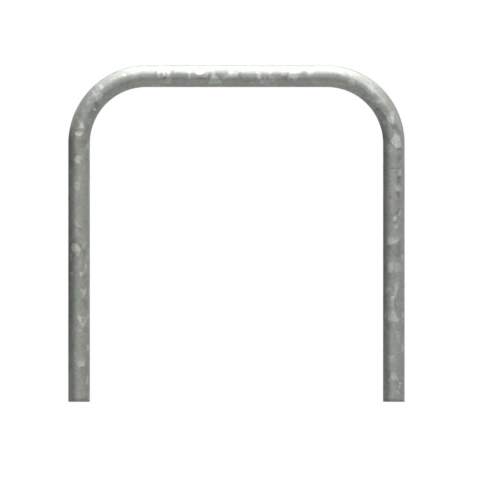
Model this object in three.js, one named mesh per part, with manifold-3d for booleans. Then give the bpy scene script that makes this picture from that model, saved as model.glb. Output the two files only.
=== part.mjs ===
// A hoop bike rack: one galvanised steel tube bent into an upside-down U, with an anchor
// fitting closing the end of each leg. Each fitting is a welded-in disc with a hex nut on
// top of it, which takes a threaded rod from the ground below.
// Millimetres, +Z up. The origin lies on the ground, midway between the two legs, and the
// hoop stands in the XZ plane.

import * as THREE from "three";
import { mergeVertices } from "three/addons/utils/BufferGeometryUtils.js";
import Module from "manifold-3d";

// The hoop
const overallWidth = 750;
const overallHeight = 750;
const bendRadius = 150; // of the tube's centreline

// The tube, a 1 1/2 inch pipe
const tubeDiameter = 48.3;
const tubeWall = 3.2;
const outerDeburr = 1;
const innerDeburr = 0.5;

// The disc that closes a leg
const discClearance = 0.3; // all round, between the disc and the tube's bore
const discThickness = 8;
const discRecess = 4; // from the tube's end up to the disc
const weldLeg = 3; // of the fillet weld under the disc's rim
const rodHoleDiameter = 17.5; // clears the threaded rod
const ventRadius = 5; // half-round notches in the rim, which let the zinc run in and out

// The nut on the disc, M16
const threadDiameter = 16;
const threadCoreDiameter = 13.8;
const nutAcrossFlats = 24;
const nutHeight = 14.8;
const nutFaceDiameter = 22.5; // of the round face inside the chamfered corners
const nutChamferAngle = THREE.MathUtils.degToRad(30);
const nutCountersink = 1.2; // radial width of the lead-in at each end of the thread

const cutOverrun = 2; // how far a cutting tool reaches past the face it cuts

// How finely round shapes are divided
const tubeSides = 40;
const bendSteps = 22;
const roundSides = 48;
const boreSides = 32;

// Sizes that follow from those above
const tubeRadius = tubeDiameter / 2;
const boreRadius = tubeRadius - tubeWall;
const legX = overallWidth / 2 - tubeRadius;
const railZ = overallHeight - tubeRadius;
const bendCentreX = legX - bendRadius;
const bendCentreZ = railZ - bendRadius;
const discRadius = boreRadius - discClearance;

const wasm = await Module();
wasm.setup();

// Turns a closed mesh into a solid that can be cut.
function toSolid(geometry) {
  const bare = geometry.clone();
  bare.deleteAttribute("normal");
  bare.deleteAttribute("uv");
  const merged = mergeVertices(bare);
  return new wasm.Manifold(
    new wasm.Mesh({
      numProp: 3,
      vertProperties: merged.attributes.position.array,
      triVerts: new Uint32Array(merged.index.array),
    }),
  );
}

// Turns a solid back into a mesh with flat facets.
function toGeometry(solid) {
  const mesh = solid.getMesh();
  const geometry = new THREE.BufferGeometry();
  geometry.setAttribute("position", new THREE.BufferAttribute(mesh.vertProperties, 3));
  geometry.setIndex(new THREE.BufferAttribute(mesh.triVerts, 1));
  const faceted = geometry.toNonIndexed();
  faceted.computeVertexNormals();
  return faceted;
}

// Revolves a closed outline of [radius, height] points about the Z axis. The outline runs
// anticlockwise, so that its faces point out.
function revolve(outline, sides) {
  const points = [...outline, outline[0]].map(([radius, height]) => new THREE.Vector2(radius, height));
  return new THREE.LatheGeometry(points, sides).rotateX(Math.PI / 2);
}

// A plain round bar along Z, from one height to another.
function roundBar(radius, fromZ, toZ, sides) {
  const height = toZ - fromZ;
  const bar = new THREE.CylinderGeometry(radius, radius, height, sides);
  return bar.rotateX(Math.PI / 2).translate(0, 0, (fromZ + toZ) / 2);
}

// The tube's centreline, up one leg, round both bends and down the other. It has stations only
// where the tube needs a ring: at its ends and at equal angles round each bend.
class HoopCentreline extends THREE.Curve {
  constructor() {
    super();
    this.stations = [this.station(-legX, 0, 0)];
    this.addBend(-1, Math.PI, Math.PI / 2);
    this.addBend(1, Math.PI / 2, 0);
    this.stations.push(this.station(legX, 0, Math.PI));
  }

  // A point on the centreline, and the way it runs there: 0 is up and a half turn is down.
  station(x, z, turn) {
    return {
      point: new THREE.Vector3(x, 0, z),
      tangent: new THREE.Vector3(Math.sin(turn), 0, Math.cos(turn)),
    };
  }

  addBend(side, fromAngle, toAngle) {
    for (let step = 0; step <= bendSteps; step += 1) {
      const angle = THREE.MathUtils.lerp(fromAngle, toAngle, step / bendSteps);
      const x = side * bendCentreX + bendRadius * Math.cos(angle);
      const z = bendCentreZ + bendRadius * Math.sin(angle);
      this.stations.push(this.station(x, z, Math.PI - angle));
    }
  }

  stationAt(t) {
    return this.stations[Math.round(t * (this.stations.length - 1))];
  }

  getUtoTmapping(u) {
    return u;
  }

  getPoint(t, target = new THREE.Vector3()) {
    return target.copy(this.stationAt(t).point);
  }

  getTangent(t, target = new THREE.Vector3()) {
    return target.copy(this.stationAt(t).tangent);
  }
}

function tubeSection() {
  const section = new THREE.Shape();
  section.absarc(0, 0, tubeRadius, 0, 2 * Math.PI);
  const bore = new THREE.Path();
  bore.absarc(0, 0, boreRadius, 0, 2 * Math.PI);
  section.holes.push(bore);
  return section;
}

// A ring tool that takes the sharp edge off the outside of a leg's end.
function outerEdgeTool() {
  return revolve(
    [
      [tubeRadius - outerDeburr - cutOverrun, -cutOverrun],
      [tubeRadius + cutOverrun, -cutOverrun],
      [tubeRadius + cutOverrun, outerDeburr + cutOverrun],
    ],
    tubeSides,
  );
}

// A cone tool that takes the sharp edge off the inside.
function innerEdgeTool() {
  const mouthRadius = boreRadius + innerDeburr;
  const height = innerDeburr + cutOverrun;
  const cone = new THREE.CylinderGeometry(
    boreRadius - cutOverrun,
    mouthRadius + cutOverrun,
    height + cutOverrun,
    tubeSides,
  );
  return cone.rotateX(Math.PI / 2).translate(0, 0, (height - cutOverrun) / 2);
}

// The bent tube, cut square at both ends with its edges taken off.
function hoopTube() {
  const centreline = new HoopCentreline();
  const bent = new THREE.ExtrudeGeometry(tubeSection(), {
    extrudePath: centreline,
    steps: centreline.stations.length - 1,
    curveSegments: tubeSides / 2, // a full circle gets two sides for each
  });
  let tube = toSolid(bent);
  for (const side of [-1, 1]) {
    for (const tool of [outerEdgeTool(), innerEdgeTool()]) {
      tube = tube.subtract(toSolid(tool.translate(side * legX, 0, 0)));
    }
  }
  return toGeometry(tube);
}

// The disc that closes a leg, with the weld under its rim, a hole for the rod and two notches.
function footDisc() {
  const weldedDisc = revolve(
    [
      [rodHoleDiameter / 2, 0],
      [discRadius - weldLeg, 0],
      [discRadius, -weldLeg],
      [discRadius, discThickness],
      [rodHoleDiameter / 2, discThickness],
    ],
    roundSides,
  );
  let disc = toSolid(weldedDisc);
  for (const side of [-1, 1]) {
    const notch = roundBar(ventRadius, -weldLeg - cutOverrun, discThickness + cutOverrun, boreSides);
    disc = disc.subtract(toSolid(notch.translate(0, side * discRadius, 0)));
  }
  return toGeometry(disc);
}

function hexagon(acrossFlats) {
  const cornerRadius = acrossFlats / 2 / Math.cos(Math.PI / 6);
  const corners = [0, 1, 2, 3, 4, 5].map((corner) => {
    const angle = (corner * Math.PI) / 3;
    return new THREE.Vector2(cornerRadius * Math.cos(angle), cornerRadius * Math.sin(angle));
  });
  return new THREE.Shape(corners);
}

// A hex nut with chamfered corners at both faces and a lead-in at each end of its thread.
function anchorNut() {
  const cornerRadius = nutAcrossFlats / 2 / Math.cos(Math.PI / 6);
  const faceRadius = nutFaceDiameter / 2;
  const chamferHeight = (cornerRadius + cutOverrun - faceRadius) * Math.tan(nutChamferAngle);
  const coreRadius = threadCoreDiameter / 2;
  const mouthRadius = threadDiameter / 2 + nutCountersink - (threadDiameter - threadCoreDiameter) / 2;
  const leadIn = (mouthRadius - coreRadius) * Math.tan(nutChamferAngle);

  const prism = new THREE.ExtrudeGeometry(hexagon(nutAcrossFlats), { depth: nutHeight, bevelEnabled: false });
  const turned = revolve(
    [
      [mouthRadius, 0],
      [faceRadius, 0],
      [cornerRadius + cutOverrun, chamferHeight],
      [cornerRadius + cutOverrun, nutHeight - chamferHeight],
      [faceRadius, nutHeight],
      [mouthRadius, nutHeight],
      [coreRadius, nutHeight - leadIn],
      [coreRadius, leadIn],
    ],
    roundSides,
  );
  return toGeometry(toSolid(prism).intersect(toSolid(turned)));
}

const zincFinish = { color: 0x8b8f89, roughness: 0.45, metalness: 0.85 };
const bareZincFinish = { color: 0x7d807b, roughness: 0.55, metalness: 0.8 };

function piece(name, geometry, finish) {
  const mesh = new THREE.Mesh(geometry, new THREE.MeshStandardMaterial(finish));
  mesh.name = name;
  return mesh;
}

// The disc and nut of one leg, standing on the ground plane below that leg.
function anchorFitting(sideName) {
  const fitting = new THREE.Group();
  const disc = piece(`${sideName}_foot_disc`, footDisc(), bareZincFinish);
  disc.position.z = discRecess;
  const nut = piece(`${sideName}_anchor_nut`, anchorNut(), bareZincFinish);
  nut.position.z = discRecess + discThickness;
  fitting.add(disc, nut);
  return fitting;
}

const hoop = new THREE.Group();
hoop.add(piece("hoop_tube", hoopTube(), zincFinish));

const leftFitting = anchorFitting("left");
leftFitting.position.x = -legX;
const rightFitting = anchorFitting("right");
rightFitting.position.x = legX;
hoop.add(leftFitting, rightFitting);

export default hoop;
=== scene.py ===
import math

import bmesh
import bpy
from mathutils import Matrix, Vector, noise


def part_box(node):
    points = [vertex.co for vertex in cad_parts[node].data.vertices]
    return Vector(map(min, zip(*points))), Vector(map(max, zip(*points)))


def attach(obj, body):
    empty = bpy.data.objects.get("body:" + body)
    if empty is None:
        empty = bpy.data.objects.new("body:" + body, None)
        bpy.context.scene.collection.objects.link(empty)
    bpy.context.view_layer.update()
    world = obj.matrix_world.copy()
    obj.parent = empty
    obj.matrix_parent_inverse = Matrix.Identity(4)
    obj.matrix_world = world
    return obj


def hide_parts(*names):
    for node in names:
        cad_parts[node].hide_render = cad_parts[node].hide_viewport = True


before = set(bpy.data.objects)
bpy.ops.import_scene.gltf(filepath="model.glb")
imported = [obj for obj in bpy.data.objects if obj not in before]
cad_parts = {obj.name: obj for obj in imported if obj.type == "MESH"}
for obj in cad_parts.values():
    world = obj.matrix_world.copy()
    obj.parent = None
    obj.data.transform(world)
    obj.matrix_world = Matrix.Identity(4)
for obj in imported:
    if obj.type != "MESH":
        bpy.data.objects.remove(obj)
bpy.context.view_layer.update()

# A hoop bike rack: one galvanised tube bent into an upside-down U, with a welded-in disc and
# a hex nut in the end of each leg. Metres, +Z up. The hoop stands in the XZ plane and its
# front faces -Y.

mm = 0.001
fullTurn = 2 * math.pi
quarterTurn = fullTurn / 4
sixthTurn = fullTurn / 6
mergeDistance = 0.001 * mm

# The photograph's frame in its own pixels, and what one of them measures on the hoop
photo = {
    "width": 494,
    "height": 484,
    "middleX": 236.46,  # the hoop's middle
    "groundY": 401.85,  # the legs' ends
    "pixel": 2.2294 * mm,
    "cameraY": -4,  # metres, in front of the hoop
}

# The hoop. Its outside sizes come from model.glb.
hoop = {
    "bendRadius": 150 * mm,  # of the tube's centreline
    "wall": 3.2 * mm,
    "sides": 112,
    "skinStep": 4 * mm,  # from ring to ring on the outer skin
    "boreStep": 100 * mm,
    "boreBendStep": 8 * mm,
    "outerEdge": 1 * mm,  # rounding of the cut ends
    "innerEdge": 0.5 * mm,
    "edgeSegments": 3,
    "seamMerge": 0.01 * mm,  # where the two halves meet
    "waveSize": 26 * mm,  # the zinc's slow unevenness
    "waveHeight": 0.07 * mm,
    "lumpSize": 7 * mm,  # and its fine unevenness
    "lumpHeight": 0.03 * mm,
    "evenFoot": 2.6 * mm,  # the stretch at each leg's end that has neither
    "map": "alongHoop",  # the name of its UV map
}

hoopLow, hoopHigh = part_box("hoop_tube")
tubeRadius = (hoopHigh.y - hoopLow.y) / 2
boreRadius = tubeRadius - hoop["wall"]
legX = hoopHigh.x - tubeRadius
railZ = hoopHigh.z - tubeRadius
bendX = legX - hoop["bendRadius"]
bendZ = railZ - hoop["bendRadius"]
bendLength = quarterTurn * hoop["bendRadius"]


def placeOnHoop(x, z):
    # distance along the centreline from the rail's middle, distance outside it, and its turn
    # from level there
    side = math.copysign(1, x)
    x = abs(x)
    if x <= bendX:
        return side * x, z - railZ, 0
    if z <= bendZ:
        return side * (bendX + bendLength + bendZ - z), x - legX, side * quarterTurn
    turn = math.atan2(x - bendX, z - bendZ)
    outside = math.hypot(x - bendX, z - bendZ) - hoop["bendRadius"]
    return side * (bendX + turn * hoop["bendRadius"]), outside, side * turn


def edgesOf(geometry):
    return [part for part in geometry if isinstance(part, bmesh.types.BMEdge)]


def vertsOf(geometry):
    return [part for part in geometry if isinstance(part, bmesh.types.BMVert)]


def sweepHalf(bm, firstRing, straightStep, bendStep):
    # carries a ring of edges from the left foot up the leg, over the bend and to the middle
    # of the rail
    def straight(ring, way, length):
        reached = bmesh.ops.extrude_edge_only(bm, edges=ring)["geom"]
        verts = vertsOf(reached)
        bmesh.ops.translate(bm, verts=verts, vec=Vector(way) * length)
        far = set(verts)
        sides = [edge for vert in verts for edge in vert.link_edges if edge.other_vert(vert) not in far]
        bmesh.ops.subdivide_edges(bm, edges=sides, cuts=round(length / straightStep) - 1)
        return [edge for edge in edgesOf(reached) if edge.is_boundary]

    ring = straight(firstRing, (0, 0, 1), bendZ)
    ringVerts = list(dict.fromkeys(vert for edge in ring for vert in edge.verts))
    bend = bmesh.ops.spin(
        bm, geom=ring + ringVerts, cent=(-bendX, 0, bendZ), axis=(0, 1, 0), dvec=(0, 0, 0),
        angle=quarterTurn, steps=round(bendLength / bendStep), use_merge=False, use_duplicate=False,
    )
    straight(edgesOf(bend["geom_last"]), (1, 0, 0), bendX)


def roundEdges(bm, edges, width, segments):
    bmesh.ops.bevel(
        bm, geom=edges, offset=width, segments=segments, profile=0.5, affect="EDGES", material=-1,
    )


def unevenSkin(bm):
    # dipped zinc is never quite even, except where the tube stands on the ground
    for vert in bm.verts:
        outside, turn = placeOnHoop(vert.co.x, vert.co.z)[1:]
        radial = Vector((math.sin(turn) * outside, vert.co.y, math.cos(turn) * outside))
        if radial.length < boreRadius + hoop["wall"] / 2:
            continue
        wave = noise.noise(vert.co / hoop["waveSize"]) * hoop["waveHeight"]
        lump = noise.noise(vert.co / hoop["lumpSize"]) * hoop["lumpHeight"]
        fade = min(1, max(0, (vert.co.z - hoop["evenFoot"]) / hoop["waveSize"]))
        vert.co += radial.normalized() * (wave + lump) * fade


def mapAlongHoop(bm):
    # the skin's own map, in metres: along the hoop, and round the tube from its front
    layer = bm.loops.layers.uv.new(hoop["map"])
    for face in bm.faces:
        middle = face.calc_center_median()
        middleAngle = math.atan2(placeOnHoop(middle.x, middle.z)[1], -middle.y)
        for loop in face.loops:
            point = loop.vert.co
            along, outside = placeOnHoop(point.x, point.z)[:2]
            angle = math.atan2(outside, -point.y)
            angle += fullTurn * round((middleAngle - angle) / fullTurn)
            loop[layer].uv = (along, angle * tubeRadius)


def addObject(bm, name):
    mesh = bpy.data.meshes.new(name)
    bm.to_mesh(mesh)
    bm.free()
    added = bpy.data.objects.new(name, mesh)
    bpy.context.scene.collection.objects.link(added)
    return added


def finishPiece(bm, name):
    bmesh.ops.remove_doubles(bm, verts=bm.verts, dist=mergeDistance)
    bmesh.ops.recalc_face_normals(bm, faces=bm.faces)
    for face in bm.faces:
        face.smooth = True
    piece = addObject(bm, name)
    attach(piece, "root")
    return piece


def makeHoop():
    bm = bmesh.new()
    foot = Matrix.Translation((-legX, 0, 0))
    bmesh.ops.create_circle(bm, radius=tubeRadius, segments=hoop["sides"], matrix=foot)
    skinRing = bm.edges[:]
    inner = bmesh.ops.extrude_edge_only(bm, edges=skinRing)["geom"]
    shrink = Matrix.Scale(boreRadius / tubeRadius, 4)
    bmesh.ops.transform(bm, verts=vertsOf(inner), matrix=shrink, space=foot.inverted())
    boreRing = [edge for edge in edgesOf(inner) if edge.is_boundary]
    sweepHalf(bm, skinRing, hoop["skinStep"], hoop["skinStep"])
    sweepHalf(bm, boreRing, hoop["boreStep"], hoop["boreBendStep"])
    roundEdges(bm, skinRing, hoop["outerEdge"], hoop["edgeSegments"])
    roundEdges(bm, boreRing, hoop["innerEdge"], hoop["edgeSegments"])
    whole = bm.verts[:] + bm.edges[:] + bm.faces[:]
    bmesh.ops.mirror(bm, geom=whole, axis="X", merge_dist=hoop["seamMerge"])
    unevenSkin(bm)
    mapAlongHoop(bm)
    piece = finishPiece(bm, "galvanised_hoop")
    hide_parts("hoop_tube")
    return piece


# The fitting inside a leg's end. The disc's and the nut's outside sizes come from model.glb.
nutLow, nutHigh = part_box("left_anchor_nut")
discLow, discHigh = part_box("left_foot_disc")
discRadius = (discHigh.x - discLow.x) / 2
discTop = discHigh.z

disc = {
    "thickness": 8 * mm,
    "holeRadius": 8.75 * mm,  # clears the threaded rod
    "ventRadius": 5 * mm,  # half-round notches at the front and back of the rim
    "columns": 240,
    "edge": 0.5 * mm,
    "edgeSegments": 3,
    "cornerAngle": math.radians(60),  # edges that turn more than this are rounded
}
discFoot = discTop - disc["thickness"]


def turnProfile(bm, outline, centreX, angle, columns):
    # turns a closed outline of (radius, height) points round a leg's axis
    verts = [bm.verts.new((centreX + radius, 0, height)) for radius, height in outline]
    edges = [bm.edges.new((vert, verts[index - 1])) for index, vert in enumerate(verts)]
    bmesh.ops.spin(
        bm, geom=verts + edges, cent=(centreX, 0, 0), axis=(0, 0, 1), dvec=(0, 0, 0),
        angle=angle, steps=columns, use_merge=angle == fullTurn, use_duplicate=False,
    )


def aroundLeg(vert, centreX):
    # a vertex's radius and angle about a leg's axis
    return math.hypot(vert.co.x - centreX, vert.co.y), math.atan2(vert.co.y, vert.co.x - centreX)


def setAroundLeg(vert, centreX, radius, angle, height):
    vert.co = (centreX + radius * math.cos(angle), radius * math.sin(angle), height)


def rimRadius(angle):
    # the disc's rim at an angle, cut back where a vent notch crosses it
    across = discRadius * math.cos(angle)
    if abs(across) >= disc["ventRadius"]:
        return discRadius
    return discRadius * abs(math.sin(angle)) - math.sqrt(disc["ventRadius"] ** 2 - across**2)


def makeDisc(name, centreX, node):
    bm = bmesh.new()
    outline = (
        (disc["holeRadius"], discFoot), (discRadius, discFoot),
        (discRadius, discTop), (disc["holeRadius"], discTop),
    )
    turnProfile(bm, outline, centreX, fullTurn, disc["columns"])
    bmesh.ops.recalc_face_normals(bm, faces=bm.faces)
    corners = [edge for edge in bm.edges if edge.calc_face_angle(0) > disc["cornerAngle"]]
    for vert in bm.verts:
        radius, angle = aroundLeg(vert, centreX)
        setAroundLeg(vert, centreX, min(radius, rimRadius(angle)), angle, vert.co.z)
    roundEdges(bm, corners, disc["edge"], disc["edgeSegments"])
    piece = finishPiece(bm, name)
    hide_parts(node)
    return piece


weld = {
    "leg": 3 * mm,
    "crown": 0.6 * mm,  # how far the bead bulges past a flat fillet
    "wallGap": 0.05 * mm,
    "ripple": 0.14 * mm,
    "rippleLength": 1.8 * mm,
    "rippleBow": 0.45,  # how far a ripple's middle lags, in ripples
    "ventGap": math.radians(16),  # from a notch's middle to the bead's end
    "endTaper": math.radians(7),
    "endBlunt": 0.05,  # of the taper that is left off, so that the end isn't a point
    "columns": 180,
    "profilePoints": 10,
}


def makeWeld(name, centreX):
    # a bead in the corner between the disc's underside and the tube's bore, in two runs that
    # stop short of the vent notches
    outerRadius = boreRadius - weld["wallGap"]
    corner = Vector((outerRadius, discFoot))
    onDisc = corner - Vector((weld["leg"], 0))
    onWall = corner - Vector((0, weld["leg"]))
    bulge = Vector((-1, -1)).normalized() * weld["crown"]
    shares = [index / (weld["profilePoints"] - 1) for index in range(weld["profilePoints"])]
    outline = [onDisc.lerp(onWall, share) + bulge * math.sin(math.pi * share) for share in shares]
    span = math.pi - 2 * weld["ventGap"]
    bm = bmesh.new()
    turnProfile(bm, [*outline, corner], centreX, span, weld["columns"])
    for vert in bm.verts:
        radius, angle = aroundLeg(vert, centreX)
        fromCorner = Vector((radius, vert.co.z)) - corner
        share = min(1, max(0, -fromCorner.y / weld["leg"]))
        bow = weld["rippleBow"] * math.sin(math.pi * share)
        phase = angle * outerRadius / weld["rippleLength"] - bow
        fromEnd = min(1, max(weld["endBlunt"], min(angle, span - angle) / weld["endTaper"]))
        taper = math.sqrt(1 - (1 - fromEnd) ** 2)
        ripple = weld["ripple"] * abs(math.sin(math.pi * phase)) * math.sin(math.pi * share)
        reach = corner + fromCorner * taper + bulge.normalized() * ripple * taper
        setAroundLeg(vert, centreX, reach.x, angle, reach.y)
    bmesh.ops.holes_fill(bm, edges=[edge for edge in bm.edges if edge.is_boundary], sides=0)
    axis = Vector((centreX, 0, 0))
    bmesh.ops.rotate(bm, verts=bm.verts, cent=axis, matrix=Matrix.Rotation(-span / 2, 3, "Z"))
    run = bm.verts[:] + bm.edges[:] + bm.faces[:]
    second = bmesh.ops.duplicate(bm, geom=run)["geom"]
    bmesh.ops.rotate(bm, verts=vertsOf(second), cent=axis, matrix=Matrix.Rotation(math.pi, 3, "Z"))
    piece = finishPiece(bm, name)
    return piece


nut = {
    "acrossFlats": 24 * mm,
    "faceRadius": 11.25 * mm,  # inside the chamfered corners
    "chamferSlope": math.tan(math.radians(30)),
    "mouthRadius": 8.1 * mm,
    "threadRadius": 8 * mm,
    "coreRadius": 6.92 * mm,
    "pitch": 2 * mm,
    "flatShare": 0.1875,  # of the pitch that each crest and each root is flat
    "rowsPerTurn": 12,
    "columns": 72,
    "sharpAngle": math.radians(25),  # edges that turn more than this are shaded sharp
}


def hexRadius(angle):
    return nut["acrossFlats"] / 2 / math.cos(angle % sixthTurn - sixthTurn / 2)


def threadRadius(angle, height):
    # the bore at a place on its wall: a sixty-degree thread with flat crests and roots,
    # opened by a lead-in at each face
    turns = (height - nutLow.z) / nut["pitch"] - angle / fullTurn
    groove = 1 - abs(2 * (turns % 1) - 1)
    depth = min(1, max(0, (groove - nut["flatShare"]) / (1 - 2 * nut["flatShare"])))
    radius = nut["coreRadius"] + (nut["threadRadius"] - nut["coreRadius"]) * depth
    fromFace = min(height - nutLow.z, nutHigh.z - height)
    return max(radius, nut["mouthRadius"] - fromFace / nut["chamferSlope"])


def makeNut(name, centreX, node):
    bm = bmesh.new()
    faceRadius = nut["faceRadius"]
    wide = nut["acrossFlats"]  # past the corners, and brought in to the hexagon below
    height = nutHigh.z - nutLow.z
    rows = round(height / nut["pitch"] * nut["rowsPerTurn"])
    boreRows = [(nut["coreRadius"], nutHigh.z - height * row / rows) for row in range(1, rows)]
    outline = [
        (nut["mouthRadius"], nutLow.z), (faceRadius, nutLow.z), (wide, nutLow.z + mm),
        (wide, nutHigh.z - mm), (faceRadius, nutHigh.z), (nut["mouthRadius"], nutHigh.z), *boreRows,
    ]
    turnProfile(bm, outline, centreX, fullTurn, nut["columns"])
    for vert in bm.verts:
        radius, angle = aroundLeg(vert, centreX)
        if radius > (faceRadius + wide) / 2:
            radius = hexRadius(angle)
            chamfer = (radius - faceRadius) * nut["chamferSlope"]
            nearFoot = vert.co.z < (nutLow.z + nutHigh.z) / 2
            newHeight = nutLow.z + chamfer if nearFoot else nutHigh.z - chamfer
            setAroundLeg(vert, centreX, radius, angle, newHeight)
        elif radius < (nut["coreRadius"] + nut["mouthRadius"]) / 2:
            setAroundLeg(vert, centreX, threadRadius(angle, vert.co.z), angle, vert.co.z)
    piece = finishPiece(bm, name)
    piece.data.set_sharp_from_angle(angle=nut["sharpAngle"])
    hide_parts(node)
    return piece


print("modelling the pieces")
galvanisedHoop = makeHoop()
fittings = []
for side, centreX in (("left", -legX), ("right", legX)):
    fittings.append(makeDisc(side + "_disc", centreX, side + "_foot_disc"))
    fittings.append(makeWeld(side + "_weld", centreX))
    fittings.append(makeNut(side + "_nut", centreX, side + "_anchor_nut"))


class Shade:
    # an output in a node tree, so that shader maths can be written as sums and products
    def __init__(self, nodes, socket):
        self.nodes = nodes
        self.socket = socket

    def output(self, name):
        return Shade(self.nodes, self.socket.node.outputs[name])

    def maths(self, operation, *others):
        return self.nodes.maths(operation, self, *others)

    def __add__(self, other):
        return self.maths("ADD", other)

    def __sub__(self, other):
        return self.maths("SUBTRACT", other)

    def __rsub__(self, other):
        return self.nodes.maths("SUBTRACT", other, self)

    def __mul__(self, other):
        return self.maths("MULTIPLY", other)

    __radd__ = __add__
    __rmul__ = __mul__

    def most(self, other):
        return self.maths("MAXIMUM", other)

    def rise(self, low, high):
        # 0 at low and 1 at high, with a smooth start and end
        ends = {"Value": self, "From Min": low, "From Max": high}
        return self.nodes.add("ShaderNodeMapRange", {"interpolation_type": "SMOOTHSTEP"}, ends)


class Nodes:
    # the node tree of a material or of the world
    def __init__(self, owner):
        owner.use_nodes = True
        self.tree = owner.node_tree
        self.tree.nodes.clear()

    def add(self, kind, settings=None, inputs=None):
        node = self.tree.nodes.new(kind)
        for name, value in (settings or {}).items():
            setattr(node, name, value)
        for name, value in (inputs or {}).items():
            if isinstance(value, Shade):
                self.tree.links.new(value.socket, node.inputs[name])
            else:
                node.inputs[name].default_value = value
        return Shade(self, node.outputs[0]) if node.outputs else None

    def maths(self, operation, *terms):
        return self.add("ShaderNodeMath", {"operation": operation}, dict(enumerate(terms)))

    def vector(self, operation, *terms):
        return self.add("ShaderNodeVectorMath", {"operation": operation}, dict(enumerate(terms)))

    def scaled(self, vector, factor):
        return self.add("ShaderNodeVectorMath", {"operation": "SCALE"}, {0: vector, "Scale": factor})

    def blend(self, factor, first, second):
        colours = {"Factor": factor, 6: first, 7: second}
        return self.add("ShaderNodeMix", {"data_type": "RGBA"}, colours).output(2)


# Galvanised zinc, dulled by weather: a mosaic of frozen crystals that each lean a little
# differently, a few of them bright
zinc = {
    "greenGrey": (0.246, 0.2645, 0.2402, 1),
    "plainGrey": (0.2574, 0.26, 0.2468, 1),
    "greyPatch": 22 * mm,
    "greyEdges": (0.35, 0.65),  # of the patches' noise, from all green to all plain
    "crystal": 17 * mm,
    "crystalTone": 0.05,
    "grain": 6 * mm,
    "grainTone": 0.08,
    "wander": 2.4 * mm,  # how far the crystals' edges stray
    "wanderSize": 8 * mm,
    "cloud": 80 * mm,
    "cloudTone": 0.09,
    "speck": 3.4 * mm,
    "speckTone": 0.18,
    "feather": 3.1 * mm,  # spacing of the fine lines within a crystal
    "featherTone": 0.03,
    "lineLength": 220 * mm,  # of the faint lines that were drawn along the tube
    "lineWidth": 2.4 * mm,
    "lineTone": 0.09,
    "lean": 0.05,
    "rough": 0.41,
    "roughVary": 0.06,
    "metallic": 0.9,
    # the glint's tone is real crystal tone, with painted highlight in bright glints and painted shade in
    # dull ones
    "crystalAndPaintedLightTone": 0.44,  # how much brighter a full glint is
    "flakeRise": 0.12,  # and how far it faces up
    "flakeEdge": 1.9 * mm,
    "flakeWander": 0.5,  # of how far the other crystals' edges stray
    "flakeFeather": 3.4 * mm,
    "flakeUneven": 0.9,
    "frontReach": 27 * mm,  # round the tube, of the side that the photograph shows
    "frontContrast": 0.45,  # of the other crystals there
    "brightShare": 0.2,  # of the crystals past it that are bright
    "brightGlint": 0.9,
}


def spread(value, amount):
    # a value from 0 to 1 as one from -amount to amount
    return (value - 0.5) * (2 * amount)


def centred(nodes, colour):
    # a colour from 0 to 1 as a vector from -0.5 to 0.5
    return nodes.vector("SUBTRACT", colour, (0.5, 0.5, 0.5))


def noiseAt(nodes, place, size, detail=2):
    settings = {"Vector": place, "Scale": 1 / size, "Detail": detail}
    return nodes.add("ShaderNodeTexNoise", {}, settings)


def crystalsAt(nodes, place, size):
    return nodes.add("ShaderNodeTexVoronoi", {}, {"Vector": place, "Scale": 1 / size})


def channel(nodes, colour, name):
    return nodes.add("ShaderNodeSeparateColor", {}, {"Color": colour}).output(name)
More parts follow.
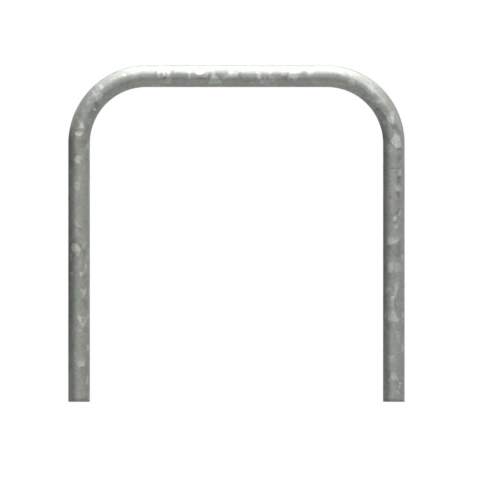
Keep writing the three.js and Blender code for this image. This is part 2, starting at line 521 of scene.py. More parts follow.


# The bright and dull marks that stand out in the photograph, each laid into the zinc's colour as
# well as its lean: partly real crystals, brighter and duller, and partly painted light, painted
# highlight on the bright ones and painted shade on the dull ones. Each one's glint, its corners in
# the photograph and, where its first side isn't crisp, how many pixels it takes to fade in
crystalsAndPaintedLight = {
    # along the rail, from the left
    "railShade": (-0.2, ((154.3, 72), (156.8, 71.5), (157, 79), (154.6, 79))),
    "railLowSpot": (0.55, ((152, 84), (159.2, 84), (158.8, 86.4), (152.8, 86.4))),
    # painted highlight below the edge of the rail's highlight, on a crystal that leans up
    "railNotchHighlight": (0.4, ((157, 70), (160.4, 70), (160.2, 78.5), (157.6, 77.5))),
    "railPatchSide": (0.25, ((159, 79.5), (165.6, 79.6), (165.4, 84), (160, 83.6))),
    # painted highlight below the edge of the rail's highlight, on a crystal that leans up
    "railToothHighlight": (0.7, ((161.8, 70), (167, 70), (165.4, 76), (163.3, 76.2))),
    # painted shade in a pit
    "railPitShade": (-0.85, ((162.8, 77.2), (166.2, 76.6), (165.4, 79), (163.2, 79.8))),
    # painted shade in a pit
    "railToothPitShade": (-0.5, ((164.6, 72), (166.4, 71.8), (166.2, 74.4), (164.8, 74.6))),
    # painted highlight below the edge of the rail's highlight, on a crystal that leans up
    "railSecondToothHighlight": (0.55, ((166.6, 71), (170.2, 71), (169.4, 77.4), (167.2, 77.4))),
    "railPatch": (0.6, ((165.8, 78.6), (171, 78.4), (171.2, 84), (165.4, 84))),
    "railLeftNub": (-0.2, ((170.8, 70), (174.4, 69.6), (174, 74.4), (171, 75))),
    "railMidShade": (-0.2, ((171.4, 76), (176, 72), (187.6, 73.6), (187.4, 79.6), (172, 79.4))),
    "railBar": (0.6, ((188, 71), (191, 71), (190.7, 79), (188.2, 78.6))),
    # painted highlight below the edge of the rail's highlight, on a crystal that leans up
    "railScallopHighlight": (
        1.1, ((193.6, 69), (206, 69), (204.4, 72.6), (201, 74.9), (197.4, 74.9), (194.8, 72.6)),
    ),
    "railScallopShade": (-0.45, ((197, 77.6), (206.4, 78.2), (206, 80.2), (197.4, 79.8))),
    "railSlant": (0.25, ((203.5, 73.8), (209, 73), (208.3, 76.4), (202.4, 77.8))),
    # painted shade where the rail's highlight draws back, on a crystal that leans down
    "railGapSideShade": (-0.3, ((209.4, 72.4), (212.4, 71), (211, 75.6), (208.8, 79.4), (206.8, 79))),
    "railTriangleTip": (0.2, ((212.2, 73.8), (213.6, 73.4), (215, 76.4), (212.4, 76.2))),
    "railTriangle": (
        0.8, ((208.6, 83.8), (209.4, 80.4), (212.6, 74.8), (215.6, 75.6), (222.8, 82.4), (221.6, 83.8)),
    ),
    # painted shade where the rail's highlight draws back, on a crystal that leans down
    "railGapShade": (-0.22, ((213.4, 70.2), (231, 69.4), (227.6, 72.6), (219.6, 78), (216.4, 74.6))),
    "railFan": (0.4, ((229.8, 72), (232, 75.6), (226, 79.4), (222, 78.4))),
    # painted highlight below the edge of the rail's highlight, on a crystal that leans up
    "railFarNotchHighlight": (0.35, ((228.4, 69), (233.4, 69), (232.2, 74.2), (229.4, 74.2))),
    # painted shade in a pit
    "railFanPitShade": (-0.3, ((231, 77.6), (236, 77.4), (236, 80), (231, 80))),
    "railFanSide": (0.45, ((230.6, 72), (238.8, 72.4), (237.6, 77.6), (230, 79.6))),
    "railFanShade": (-0.3, ((238.2, 72), (242, 71.6), (241.6, 78.4), (238.6, 78.8))),
    "railUnderLine": (-0.3, ((232, 80.6), (262, 80.2), (262, 82), (232, 82.2))),
    "railUnderStreak": (0.3, ((250, 82), (257, 81.6), (257, 84), (250, 84))),
    "railChevronTop": (0.58, ((255.6, 72.2), (259.4, 72), (262.4, 76.4), (259.4, 78.4))),
    "railChevronLeft": (0.65, ((256.4, 74.8), (260.4, 76.6), (264.6, 83.6), (260.6, 84.2))),
    "railChevronRight": (0.5, ((264.8, 77), (266.8, 77.4), (264, 84.2), (262.2, 82.8))),
    "railLowPatch": (0.35, ((264.6, 80), (270, 80.6), (269.6, 84.6), (264.4, 84.6))),
    "railSmear": (0.4, ((267.6, 70.6), (272.4, 70.6), (271.2, 75.4), (268.2, 75.8))),
    "railLowStreak": (0.35, ((264, 84), (277, 84.2), (277, 86), (264, 85.8))),
    "railGreenPatch": (0.5, ((269, 76), (274.2, 76.4), (276, 82), (270.6, 82.8))),
    # painted highlight below the edge of the rail's highlight, on a crystal that leans up
    "railFlakeNubHighlight": (0.35, ((280.8, 71), (286.2, 71), (285.8, 75.8), (281.4, 75.6))),
    "railFlakeShade": (-0.2, ((282, 76), (287.4, 75.6), (287.2, 79.6), (282.6, 79.6))),
    "railFlakeTail": (0.45, ((289.8, 74.4), (292, 77.8), (289, 79.4), (287.8, 78.2))),
    "railFlake": (
        0.45, ((288.4, 73.6), (291, 71.2), (300.4, 71), (298.8, 77), (295, 80.8), (290.2, 77.6)),
    ),
    "railFlakeCore": (0.4, ((291.2, 75.4), (297.8, 75.4), (296, 81), (293.4, 80.4))),
    # painted shade where the rail's highlight draws back, on a crystal that leans down
    "railHollowShade": (-0.2, ((300.8, 70), (307.2, 70), (306.8, 77.4), (302.6, 78.8))),
    # painted highlight below the edge of the rail's highlight, on a crystal that leans up
    "railLastNotchHighlight": (0.4, ((307.2, 69.6), (313.8, 69.6), (312.8, 74.8), (307.8, 76.4))),
    "railEndPatch": (0.3, ((311.4, 78), (318, 78.8), (320.4, 84), (312.6, 84.4))),
    # round the left bend, from the rail down
    "leftBendPatch": (0.2, ((129, 72.4), (137.4, 71), (137.4, 74.8), (133, 78.6), (130.6, 77.6))),
    "leftBendDot": (0.9, ((122.2, 75.1), (124, 73.3), (125.8, 75), (124, 76.7))),
    "leftBendHighStreak": (0.2, ((110, 78.8), (114, 77.4), (114.4, 78.8), (110.4, 80.2))),
    "leftBendStreak": (0.25, ((118.6, 90.8), (125.4, 87.8), (125.8, 88.8), (119.2, 92))),
    "leftBendFlake": (0.5, ((98.4, 84.6), (100.2, 84), (104.6, 87), (101.4, 89.4))),
    "leftBendTwin": (0.5, ((105.4, 97), (107, 96.6), (107.2, 98.2), (105.6, 98.4))),
    "leftBendOval": (
        0.45, ((96, 94), (100, 92), (103.6, 95.4), (102.4, 101.6), (98.4, 103.8), (95.8, 99)),
    ),
    "leftBendWedge": (0.3, ((92, 91), (94, 90), (97.6, 97.4), (96.2, 100.2))),
    "leftBendShade": (-0.45, ((94, 101.8), (96.2, 101.2), (99.8, 106), (97.4, 108.4), (94.8, 106))),
    "leftBendSheen": (0.3, ((85.6, 100), (88.8, 98.6), (90.6, 103), (87.6, 104.6))),
    "leftBendLowDot": (1.5, ((92.9, 109.4), (94.5, 107.7), (96.1, 109.2), (94.6, 111))),
    "leftBendMist": (0.4, ((87.6, 118.6), (91.4, 118), (91, 125.2), (88, 124.6))),
    "leftBendLowShade": (-0.15, ((79.6, 112.4), (85, 111.8), (84, 120), (80, 119.4))),
    "leftBendThread": (0.5, ((76.6, 116.2), (77.6, 115.8), (80.4, 123), (79.4, 123.4))),
    "leftBendTip": (0.9, ((79.2, 128.4), (80.8, 121.4), (82.4, 123), (84.8, 128.6))),
    # painted shade in a crease above a bright crystal
    "leftBendCreaseShade": (-0.3, ((75, 129.4), (79, 129), (79, 130.8), (75.4, 130.8))),
    "leftBendCrescent": (
        1.25, ((73.8, 130.6), (84, 130.6), (81.8, 135), (78.6, 136.3), (75.8, 134.8)), 4,
    ),
    # down the left leg
    "leftLegHighShade": (-0.25, ((76.4, 139.6), (86.4, 139.6), (87, 142.8), (82.4, 149), (78.4, 145))),
    "leftLegHighSheen": (0.4, ((87.4, 142.4), (89.4, 143.6), (89.2, 150.4), (85.8, 149.2))),
    "leftLegChevron": (0.85, ((73.8, 160.2), (76.8, 155.6), (80, 155.8), (79, 160.4))),
    "leftLegChevronSide": (0.3, ((79.4, 155.8), (84.8, 155.8), (83, 160), (79.8, 161.4))),
    "leftLegChevronFoot": (0.8, ((74.4, 160), (79.6, 159.8), (80, 161.8), (78.8, 163.8), (76, 162.6))),
    "leftLegNub": (0.3, ((78.4, 175), (81, 174.6), (81.2, 179.4), (78.8, 180))),
    "leftLegPale": (0.45, ((73.6, 181), (80.6, 181), (80.4, 189), (76.4, 190.6), (73.6, 188.6)), 2),
    # painted shade in small pocks
    "leftLegPocksShade": (-0.15, ((75.4, 201), (80.2, 200.4), (80.4, 206.6), (76, 207.4))),
    # painted light: the upper part of the leg's left side made paler
    "leftLegPaintedSideLight": (0.3, ((81, 234), (81, 182), (67, 158), (67, 244)), 6),
    "leftLegStep": (0.4, ((73.4, 220), (81.6, 225.6), (81.6, 229), (72.8, 223.4))),
    "leftLegStepShade": (-0.25, ((73, 224.4), (82.6, 229.8), (80.4, 231.2), (74, 227))),
    "leftLegFlakeShade": (-0.3, ((72.4, 241.6), (77.8, 240.8), (78.4, 243), (73, 243.2))),
    "leftLegVein": (0.25, ((81.8, 247.4), (85.8, 241.2), (87.8, 242.2), (83.4, 248.8))),
    # painted shade beside a raised bright crystal
    "leftLegFlakeSideShade": (-0.5, ((78.6, 242.6), (80.6, 243.4), (82.4, 248.4), (81, 249))),
    "leftLegFlake": (
        0.9, ((79.8, 253.4), (72.6, 252.8), (70.8, 246.6), (73, 243.2), (77.2, 243.8), (80.8, 249.4)), 3,
    ),
    "leftLegBlot": (-0.25, ((82.4, 249.6), (86, 249), (87, 253), (85, 256), (82.4, 254.4))),
    "leftLegFlakeTail": (0.45, ((75, 252.4), (79.8, 252.6), (78.4, 255.8), (76.2, 255.8))),
    "leftLegRimGlint": (0.65, ((69.6, 253), (72, 253), (72, 261), (69.8, 261))),
    "leftLegEdgeSpot": (0.35, ((86.8, 256), (88.6, 254.4), (88.6, 259), (86.6, 259))),
    "leftLegMist": (0.15, ((77, 261), (82, 260.4), (82, 266), (78, 266.4))),
    "leftLegTally": (0.7, ((85, 264), (87, 263.8), (87, 268.8), (85, 268.8))),
    "leftLegSpotSide": (0.3, ((82.4, 269.6), (87, 269.6), (86, 272.6), (83, 273.4))),
    "leftLegFleck": (0.8, ((71.2, 272), (72.8, 271.8), (72.8, 275.4), (71.2, 275.4))),
    "leftLegSpot": (0.7, ((79.4, 272.6), (82.4, 271.8), (82.8, 275.4), (80.4, 276.2))),
    "leftLegSpotShade": (-0.25, ((81.8, 276.2), (85.8, 274.8), (85.8, 278), (82, 278.8))),
    "leftLegPennant": (0.3, ((80.4, 288.6), (87, 288.6), (82.2, 297.6))),
    "leftLegSliver": (0.3, ((84.8, 289.4), (87.4, 289.8), (83.2, 298), (81.2, 297.6))),
    "leftLegSpecks": (-0.15, ((82, 300), (86.6, 299.4), (87, 308), (83, 309))),
    "leftLegEdgeGlint": (0.85, ((87.2, 314.4), (89, 314.8), (89, 318.6), (87.2, 318.4))),
    "leftLegVeeTop": (0.3, ((79.4, 316.2), (85.4, 317), (84.8, 319), (80.6, 318.4))),
    "leftLegVee": (0.65, ((76.8, 315.2), (79.6, 315), (84.2, 325), (82.6, 327.2), (77.6, 319.4))),
    "leftLegVeeRight": (0.55, ((85.6, 317), (87.2, 318.2), (85, 325.6), (83, 323.6))),
    "leftLegVeeShade": (-0.3, ((83.4, 327.6), (87, 327), (87, 333), (83, 333))),
    "leftLegUnderVee": (0.25, ((75, 328), (82, 329.6), (81.4, 332), (76.4, 331))),
    "leftLegEdgePale": (0.8, ((86.4, 345), (88.8, 344), (89, 350.4), (86.8, 350.6))),
    "leftLegStreak": (0.35, ((72.4, 351), (75.2, 350.6), (78.4, 357), (75.6, 358.4))),
    "leftLegLowFlake": (
        0.7, ((76, 357), (86, 357), (86, 362), (83.6, 366.4), (78.6, 366.5), (76, 362.4)), 7,
    ),
    "leftLegScratch": (0.55, ((71.2, 369.2), (73.4, 368.4), (75.6, 373), (73.8, 374.2))),
    "leftLegLowShade": (-0.15, ((80.6, 366.6), (88.6, 366.6), (88.6, 378), (81, 378))),
    "leftLegSlash": (0.75, ((87.2, 375.6), (88.7, 376), (87, 384), (85.6, 383.4))),
    # painted shade: the leg's left side made darker towards its foot
    "leftLegPaintedSideShade": (-0.35, ((76.5, 401), (76.5, 371), (67, 359), (67, 401)), 4),
    "leftLegEnd": (-0.5, ((67, 397.4), (93, 399.2), (93, 403), (67, 403))),
    # round the right bend, from the rail down
    "rightBendHighShade": (-0.3, ((335.8, 73.6), (340.8, 73.8), (340.6, 77.8), (336.2, 77.4))),
    "rightBendNotchShade": (-0.3, ((345.6, 73.4), (349.6, 73.8), (349.4, 77), (346, 76.6))),
    "rightBendNotch": (0.15, ((347, 70.5), (353.5, 72), (351.5, 75.8), (349.5, 75.5))),
    "rightBendSmear": (0.5, ((347.6, 80.6), (353.6, 79.4), (355.4, 86.4), (350, 86.8))),
    "rightBendSmearShade": (-0.15, ((353.6, 86), (357, 85), (360, 90.6), (357, 91.6))),
    "rightBendHighSpot": (0.3, ((354, 92), (357.4, 91.6), (358.6, 94.4), (355, 95))),
    "rightBendFlake": (0.25, ((367, 86.6), (372, 84), (374.4, 90.6), (371.8, 93.6), (369, 91))),
    "rightBendSpark": (0.2, ((371, 90), (373.6, 89.8), (373.6, 93.2), (371.8, 93.6))),
    "rightBendVein": (0.45, ((364.6, 98), (367.6, 96.8), (376, 101.2), (374.2, 103.2))),
    "rightBendInnerShade": (-0.4, ((360, 98), (363.2, 93.1), (378.9, 109.6), (373.9, 112.8))),
    "rightBendPatch": (0.55, ((375.6, 100.8), (380.6, 99.8), (382, 102.2), (377, 104))),
    "rightBendDull": (-0.1, ((382, 106.4), (389, 104), (393.4, 110.6), (388, 115.4))),
    "rightBendDeepShade": (
        -0.55, ((372.4, 110.6), (378, 107), (385.6, 116), (387.9, 127.1), (381.1, 128.9)),
    ),
    "rightBendBlazeTop": (0.3, ((391, 111.4), (393.6, 110.4), (395, 118.6), (391.4, 118.8))),
    "rightBendLowPatch": (0.6, ((381.8, 121), (386, 119.8), (387.4, 125), (383.6, 125.8))),
    "rightBendBlaze": (0.6, ((387, 117.6), (391, 115.4), (394.4, 119), (393.4, 123.6), (389.4, 122))),
    "rightBendShade": (-0.45, ((390.6, 124.6), (395.8, 123.6), (398.8, 129.8), (393, 129.4))),
    "rightBendPentagonShade": (-0.35, ((386.2, 137.2), (389.4, 136.2), (389.8, 141.6), (386.6, 142.2))),
    "rightBendLowShade": (-0.3, ((393.4, 129.8), (399.6, 129.6), (402, 133.8), (398.6, 133.6))),
    "rightBendPentagon": (0.8, ((395, 132.9), (399.6, 135.6), (401.2, 146.4), (396, 148), (390.2, 141))),
    # down the right leg
    "rightLegHighHatch": (0.2, ((386, 147), (389, 143.2), (390, 144.6), (387.2, 148.4))),
    # painted shade in a crease under a bright crystal
    "rightLegCreaseShade": (-0.6, ((396, 148.7), (401, 147.8), (400.6, 150.2), (396.8, 150.4))),
    "rightLegHatch": (0.3, ((387.8, 150.6), (392.4, 148.8), (393.4, 151), (389, 152.2))),
    "rightLegDullPatch": (-0.4, ((397.2, 155), (401.4, 155), (401.4, 159.8), (397.6, 159.8))),
    "rightLegDarkLine": (-0.3, ((389, 168), (400, 167.6), (400, 169), (389, 169.2))),
    "rightLegRung": (0.35, ((389, 169.8), (395.4, 169.8), (395, 171.2), (389, 171.2))),
    "rightLegRidge": (0.35, ((398.6, 170), (401.4, 169), (401.6, 175.2), (398.6, 174.8))),
    "rightLegSecondRung": (0.35, ((389.4, 173), (395, 172.8), (394.6, 175.2), (390, 175.2))),
    "rightLegDull": (-0.5, ((397.2, 176), (400.8, 176), (400.2, 183.6), (397.2, 183))),
    "rightLegCrescentCore": (0.1, ((395.8, 187.4), (398.4, 185.6), (400, 188.6), (396.8, 190.6))),
    "rightLegCrescent": (0.35, ((395.4, 186.6), (398, 185.4), (401.8, 187), (401.8, 191), (396, 190.6))),
    "rightLegSecondDull": (-0.5, ((396.2, 192.2), (400.4, 192), (400.4, 197.4), (397.8, 198.4))),
    # painted shade in a pock
    "rightLegPockShade": (-0.6, ((389, 196), (391.6, 195.4), (391.6, 198.8), (389.2, 198.8))),
    "rightLegSlantDull": (-0.35, ((398.2, 207.4), (400, 208.4), (397, 215), (395, 213.8))),
    "rightLegSlantSheen": (0.5, ((400.2, 210.4), (401.8, 211), (400, 215.8), (398.6, 215))),
    "rightLegPatch": (0.7, ((392.4, 217.6), (396, 216), (396.8, 220), (394, 220.8))),
    "rightLegPatchShade": (-0.4, ((391.6, 221.6), (396.4, 221.4), (396.6, 223.2), (392, 223.4))),
    "rightLegMidPatch": (0.55, ((394.2, 225.2), (397.8, 224.8), (397.6, 228.4), (394.4, 228.8))),
    "rightLegSlab": (
        0.7, ((388, 233.4), (400, 235), (400.2, 239.4), (396.6, 242.2), (392.8, 243.9), (386.8, 244.3)), 8,
    ),
    "rightLegSlabShade": (-0.15, ((394.4, 244.2), (397, 242.8), (400, 240.4), (401, 247), (398.8, 250))),
    "rightLegLowShade": (-0.25, ((387, 245), (400.6, 245), (400.4, 256.6), (387.4, 256))),
    "rightLegEdgeGlint": (0.7, ((401.2, 255.2), (403.4, 254.8), (403.6, 259), (401.2, 259))),
    "rightLegSecondLeaf": (0.45, ((395, 260.4), (400, 260.8), (400.8, 271), (395.2, 271.8)), 5),
    "rightLegLeaf": (0.6, ((387, 261), (392.4, 260.8), (393.4, 268), (391.6, 272.4), (388.2, 271.6)), 4),
    "rightLegLeafShade": (-0.25, ((385.6, 272.8), (395, 272.8), (395, 281), (386, 281))),
    "rightLegMist": (0.2, ((393.2, 278), (397.6, 278.4), (397, 283), (394, 283))),
    "rightLegSpark": (0.5, ((394.8, 284), (399.2, 282.2), (398.4, 288.4), (395.2, 289.6))),
    "rightLegHook": (0.55, ((386.2, 294.4), (385.6, 288.6), (389, 286.6), (391.4, 289.4))),
    "rightLegStrip": (0.45, ((395.2, 289), (397.8, 288.4), (395.4, 297.4), (393, 297))),
    "rightLegLowSpark": (0.8, ((391, 296.2), (394, 295.8), (393.8, 299.4), (391.6, 299.8))),
    "rightLegLowStrip": (0.35, ((391, 299.6), (393.8, 299.4), (393, 307), (391, 306.4))),
    "rightLegStripShade": (-0.3, ((394, 300), (395.6, 299), (396.8, 310.6), (394.6, 308.6))),
    "rightLegEdgeSpot": (0.75, ((401.8, 312.8), (404, 312.4), (404, 317.2), (401.8, 317))),
    "rightLegCombShade": (-0.6, ((386.4, 312.4), (387.4, 312.4), (388, 319), (386.8, 319))),
    "rightLegComb": (0.8, ((385.2, 313), (386.4, 313), (386.4, 318.6), (385.2, 318.6))),
    "rightLegSecondComb": (0.8, ((387.4, 312.4), (388.6, 312.4), (389.8, 320), (388.4, 320))),
    "rightLegPeak": (0.6, ((391.4, 311), (393.2, 310.8), (399.4, 320), (397.6, 322.4), (390, 320))),
    "rightLegPeakShade": (-0.4, ((386.4, 322.2), (392.6, 322.6), (392.4, 328.6), (386.8, 328.8))),
    "rightLegHaze": (0.3, ((395.4, 331), (400.6, 331.4), (400.4, 344), (396.6, 345))),
    "rightLegLowEdge": (0.6, ((401.6, 345), (403.6, 345), (403.4, 352), (401.6, 351))),
    "rightLegCloud": (0.2, ((386.8, 355.4), (396, 355), (396, 360.6), (388, 361.6))),
    "rightLegDot": (0.35, ((389.2, 357), (392.8, 356.6), (393, 360.6), (389.8, 360.8))),
    # painted shade: the leg's inner side made darker towards its foot
    "rightLegPaintedSideShade": (-0.5, ((391.8, 401), (391.8, 324), (383, 315), (383, 401)), 5),
    "rightLegNotchShade": (-0.3, ((386.8, 372.2), (390.2, 372.2), (390.2, 376.4), (387, 376.6))),
    "rightLegLowPeak": (0.4, ((391, 372.4), (396, 372.2), (397.6, 377.6), (390.4, 377.6))),
    "rightLegLowSlab": (0.5, ((390, 376.8), (397.6, 376.8), (398.8, 380.4), (387.8, 381.4))),
    "rightLegLowDot": (0.8, ((399, 382), (401.2, 382), (401.2, 384.4), (399, 384.4))),
    "rightLegTail": (0.7, ((399, 385), (400.6, 385), (399.6, 389.4), (398.2, 388.8))),
    "rightLegDash": (0.7, ((395.4, 390.2), (398.8, 391), (400, 394.4), (398, 394.2))),
    "rightLegEnd": (-0.5, ((382, 397.6), (408, 400.3), (408, 403), (382, 403))),
}


def mapPhoto(corner):
    # a point of the photograph on the hoop's own map
    x = (corner[0] - photo["middleX"]) * photo["pixel"]
    z = (photo["groundY"] - corner[1]) * photo["pixel"]
    along, outside = placeOnHoop(x, z)[:2]
    share = max(-1, min(1, outside / tubeRadius))
    return Vector((along, math.asin(share) * tubeRadius))


def flakeSides(corners, fade=0):
    # for each side of a convex outline, the weights that make a place on the map its depth
    # inside that side, from 0 to 1 over the side's soft edge
    corners = [mapPhoto(corner) for corner in corners]
    middle = sum(corners, Vector((0, 0))) / len(corners)
    sides = []
    for index, corner in enumerate(corners):
        side = corners[(index + 1) % len(corners)] - corner
        inward = Vector((-side.y, side.x)).normalized()
        if inward.dot(middle - corner) < 0:
            inward.negate()
        fading = fade and index == 0
        soft = fade * photo["pixel"] if fading else zinc["flakeEdge"]
        start = 0 if fading else 0.5  # the depth on the side itself
        sides.append((inward.x / soft, inward.y / soft, start - inward.dot(corner) / soft))
    return sides


def flakeTrio(nodes, along, around, trio):
    # the glint of three marks together, each one worked out in its own part of a vector
    sides = [flakeSides(*outline) for glint, *outline in trio]
    depth = None
    for index in range(max(len(flake) for flake in sides)):
        alongWeights, aroundWeights, constants = zip(*(flake[index % len(flake)] for flake in sides))
        side = nodes.vector("MULTIPLY_ADD", around, aroundWeights, constants)
        side = nodes.vector("MULTIPLY_ADD", along, alongWeights, side)
        depth = nodes.vector("MINIMUM", depth, side) if depth else side
    soft = {"data_type": "FLOAT_VECTOR", "interpolation_type": "SMOOTHSTEP"}
    inside = nodes.add("ShaderNodeMapRange", soft, {"Vector": depth}).output("Vector")
    glints = [glint for glint, *outline in trio]
    return nodes.vector("DOT_PRODUCT", inside, glints).output("Value")


def placedCrystalsAndPaintedLight(nodes, way, stray):
    wander = nodes.vector("MULTIPLY", stray, (zinc["flakeWander"], zinc["flakeWander"], 0))
    parts = nodes.add("ShaderNodeSeparateXYZ", {}, {"Vector": nodes.vector("ADD", way, wander)})
    along, around = (
        nodes.add("ShaderNodeCombineXYZ", {}, {part: parts.output(name) for part in "XYZ"})
        for name in "XY"
    )
    left = sorted(crystalsAndPaintedLight.values(), key=lambda flake: len(flake[1]))
    glint = 0
    while left:
        trio = left[:3]
        left = left[3:]
        while len(trio) < 3:
            trio.append((0, *trio[0][1:]))
        glint = glint + flakeTrio(nodes, along, around, trio)
    return glint


def sideMask(nodes, way):
    # 0 on the side of the hoop that the photograph shows, and 1 past it
    around = nodes.add("ShaderNodeSeparateXYZ", {}, {"Vector": way}).output("Y").maths("ABSOLUTE")
    return around.rise(zinc["frontReach"] - zinc["flakeEdge"], zinc["frontReach"] + zinc["flakeEdge"])


def drawnLines(nodes, way):
    squeeze = (1 / zinc["lineLength"], 1 / zinc["lineWidth"], 1)
    return noiseAt(nodes, nodes.vector("MULTIPLY", way, squeeze), 1)


def paintZinc(name, onTube):
    material = bpy.data.materials.new(name)
    nodes = Nodes(material)
    place = nodes.add("ShaderNodeTexCoord").output("Object")
    wander = noiseAt(nodes, place, zinc["wanderSize"]).output("Color")
    stray = nodes.scaled(centred(nodes, wander), 2 * zinc["wander"])
    strayed = nodes.vector("ADD", place, stray)
    crystals = crystalsAt(nodes, strayed, zinc["crystal"])
    lean = centred(nodes, crystals.output("Color"))
    kind = channel(nodes, crystals.output("Color"), "Red")
    otherKind = channel(nodes, crystals.output("Color"), "Green")
    grain = channel(nodes, crystalsAt(nodes, strayed, zinc["grain"]).output("Color"), "Red")
    across = nodes.vector("DOT_PRODUCT", strayed, lean).output("Value")
    feather = (across * (2 * fullTurn / zinc["feather"])).maths("SINE")
    contrast = 1
    if onTube:
        way = nodes.add("ShaderNodeUVMap", {"uv_map": hoop["map"]})
        beside = sideMask(nodes, way)
        contrast = zinc["frontContrast"] + beside * (1 - zinc["frontContrast"])

    tone = 1 + spread(kind, zinc["crystalTone"]) * contrast + spread(grain, zinc["grainTone"])
    tone = tone + spread(noiseAt(nodes, place, zinc["cloud"], detail=3), zinc["cloudTone"])
    tone = tone + spread(noiseAt(nodes, place, zinc["speck"]), zinc["speckTone"])
    tone = tone + feather * zinc["featherTone"] * otherKind * contrast
    normal = nodes.add("ShaderNodeNewGeometry").output("Normal")
    normal = nodes.vector("ADD", normal, nodes.scaled(lean, contrast * (2 * zinc["lean"])))
    if onTube:
        tone = tone + spread(drawnLines(nodes, way), zinc["lineTone"])
        bright = kind.rise(1 - zinc["brightShare"], 1) * crystals.output("Distance")
        glint = placedCrystalsAndPaintedLight(nodes, way, stray) + bright * beside * zinc["brightGlint"]
        glint = glint * (1 + spread(noiseAt(nodes, place, zinc["flakeFeather"]), zinc["flakeUneven"]))
        # the glint goes into the colour as well: real crystal tone, with painted highlight in bright
        # glints and painted shade in dull ones
        tone = tone + glint * zinc["crystalAndPaintedLightTone"]
        rise = nodes.add("ShaderNodeCombineXYZ", {}, {"Z": glint * zinc["flakeRise"]})
        normal = nodes.vector("ADD", normal, rise)
    patches = noiseAt(nodes, place, zinc["greyPatch"]).rise(*zinc["greyEdges"])
    grey = nodes.blend(patches, zinc["greenGrey"], zinc["plainGrey"])
    surface = nodes.add("ShaderNodeBsdfPrincipled", {}, {
        "Base Color": nodes.scaled(grey, tone),
        "Roughness": zinc["rough"] + spread(otherKind, zinc["roughVary"]) * contrast,
        "Metallic": zinc["metallic"],
        "Normal": nodes.vector("NORMALIZE", normal),
    })
    nodes.add("ShaderNodeOutputMaterial", {}, {"Surface": surface})
    return material


print("finishing the surfaces")
tubeZinc = paintZinc("tube_zinc", True)
fittingZinc = paintZinc("fitting_zinc", False)
galvanisedHoop.data.materials.append(tubeZinc)
for fitting in fittings:
    fitting.data.materials.append(fittingZinc)


# The studio: a pale floor in a white room and a key lamp, which light all at a plain level.
# Gloss also sees softboxes overhead, on the right and in front, a dark screen that leans on
# the left, and a grey mat on the floor in front. It doesn't see the key lamp.
studio = {
    "softboxes": {
        "overhead_softbox": {
            "size": (3.5, 4.6), "at": (0.14, -0.3, 2.3), "towards": (0.14, -0.3, 0), "glow": 2.3,
        },
        "inner_softbox": {
            "size": (1.6, 2.4), "at": (0.1, -0.1, 2.29), "towards": (0.1, -0.1, 0), "glow": 1.7,
        },
        "right_softbox": {
            "size": (2.6, 1.8), "at": (2.6, -3.2, 2.4), "towards": (0, 0, 0.5), "glow": 1.4,
        },
        "side_softbox": {
            "size": (3, 1.4), "at": (3.5, 0.2, 1.9), "towards": (0, 0.2, 0.6), "glow": 1,
        },
        "front_softbox": {
            "size": (4.4, 1.2), "at": (-0.5, -4.5, 0.5), "towards": (-0.5, 0, 0.5), "glow": 0.65,
        },
    },
    "keyLamp": {"size": (1.2, 1.2), "at": (-1, -1.5, 2.5), "towards": (0, 0, 0), "glow": 12},
    "roomShare": 0.5,  # of the plain light, the rest being the key lamp's
    "felts": {
        "screen": {"size": (5.4, 1.6), "at": (-2, 0.3, 0.45), "turn": 77, "lean": 45, "tone": 0.14},
        "mat": {"size": (5, 2.1), "at": (0, -1.95, 0.02), "turn": 0, "lean": 90, "tone": 0.55},
    },
    "floorSize": (12, 12),
    "floorDrop": 0.3 * mm,
    "floorColour": (0.8, 0.8, 0.8, 1),
    "floorShown": 0.6,  # how far the floor shows as the white background
}


def shownMask(nodes):
    # where the white background shows: straight to the camera, and in gloss and glass
    path = nodes.add("ShaderNodeLightPath")
    seen = path.output("Is Camera Ray").most(path.output("Is Glossy Ray"))
    return seen.most(path.output("Is Transmission Ray"))


def hangLamp(name, size, at, towards, glow):
    # an even rectangular lamp, as bright as a surface of that glow
    light = bpy.data.lights.new(name, "AREA")
    light.shape = "RECTANGLE"
    light.size, light.size_y = size
    light.energy = glow * math.pi * light.size * light.size_y
    lamp = bpy.data.objects.new(name, light)
    lamp.location = at
    lamp.rotation_euler = (Vector(towards) - Vector(at)).to_track_quat("-Z", "Y").to_euler()
    lamp.visible_camera = False
    bpy.context.scene.collection.objects.link(lamp)
    return lamp


def lightRoom():
    world = bpy.data.worlds.new("room")
    bpy.context.scene.world = world
    nodes = Nodes(world)
    strength = studio["roomShare"] + shownMask(nodes) * (1 - studio["roomShare"])
    background = nodes.add("ShaderNodeBackground", {}, {"Color": (1, 1, 1, 1), "Strength": strength})
    nodes.add("ShaderNodeOutputWorld", {}, {"Surface": background})
    for name, softbox in studio["softboxes"].items():
        hangLamp(name, **softbox).visible_diffuse = False
    hangLamp("key_lamp", **studio["keyLamp"]).visible_glossy = False


def addPanel(name, size, place, material):
    # a flat panel of the studio
    bm = bmesh.new()
    stretched = place @ Matrix.Diagonal((*size, 1, 1))
    bmesh.ops.create_grid(bm, x_segments=1, y_segments=1, size=0.5, matrix=stretched)
    panel = addObject(bm, name)
    panel.data.materials.append(material)
    return panel


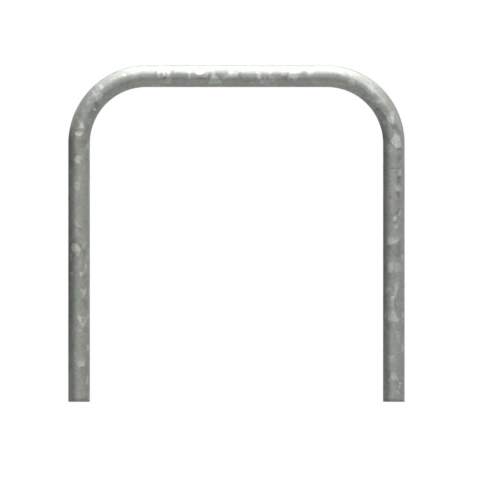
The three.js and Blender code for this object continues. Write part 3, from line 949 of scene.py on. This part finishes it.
def hangFelt(name, size, at, turn, lean, tone):
    # felt that only gloss sees, turned and leaned back by degrees
    material = bpy.data.materials.new(name + "_felt")
    nodes = Nodes(material)
    felt = nodes.add("ShaderNodeBsdfDiffuse", {}, {"Color": (tone, tone, tone, 1)})
    nodes.add("ShaderNodeOutputMaterial", {}, {"Surface": felt})
    place = Matrix.Translation(at) @ Matrix.Rotation(math.radians(turn), 4, "Z")
    place = place @ Matrix.Rotation(math.radians(90 - lean), 4, "X")
    panel = addPanel(name, size, place, material)
    panel.visible_camera = panel.visible_diffuse = panel.visible_shadow = False


def layFloor():
    # pale from above, and clear from below
    material = bpy.data.materials.new("pale_floor")
    nodes = Nodes(material)
    lit = nodes.add("ShaderNodeBsdfDiffuse", {}, {"Color": studio["floorColour"]})
    white = nodes.add("ShaderNodeEmission", {}, {"Color": (1, 1, 1, 1), "Strength": 1})
    share = shownMask(nodes) * studio["floorShown"]
    shown = nodes.add("ShaderNodeMixShader", {}, {0: share, 1: lit, 2: white})
    clear = nodes.add("ShaderNodeBsdfTransparent")
    under = nodes.add("ShaderNodeNewGeometry").output("Backfacing")
    surface = nodes.add("ShaderNodeMixShader", {}, {0: under, 1: shown, 2: clear})
    nodes.add("ShaderNodeOutputMaterial", {}, {"Surface": surface})
    drop = Matrix.Translation((0, 0, -studio["floorDrop"]))
    addPanel("floor", studio["floorSize"], drop, material)


def placeCamera():
    # level with the hoop's middle and square to it, without perspective, as in the photograph
    camera = bpy.data.objects.new("camera", bpy.data.cameras.new("camera"))
    camera.data.type = "ORTHO"
    camera.data.ortho_scale = photo["width"] * photo["pixel"]
    x = (photo["width"] / 2 - photo["middleX"]) * photo["pixel"]
    z = (photo["groundY"] - photo["height"] / 2) * photo["pixel"]
    camera.location = (x, photo["cameraY"], z)
    camera.rotation_euler = (quarterTurn, 0, 0)
    bpy.context.scene.collection.objects.link(camera)
    bpy.context.scene.camera = camera


print("setting the studio")
lightRoom()
for name, felt in studio["felts"].items():
    hangFelt(name, **felt)
layFloor()
placeCamera()
bpy.context.scene.view_settings.view_transform = "Standard"
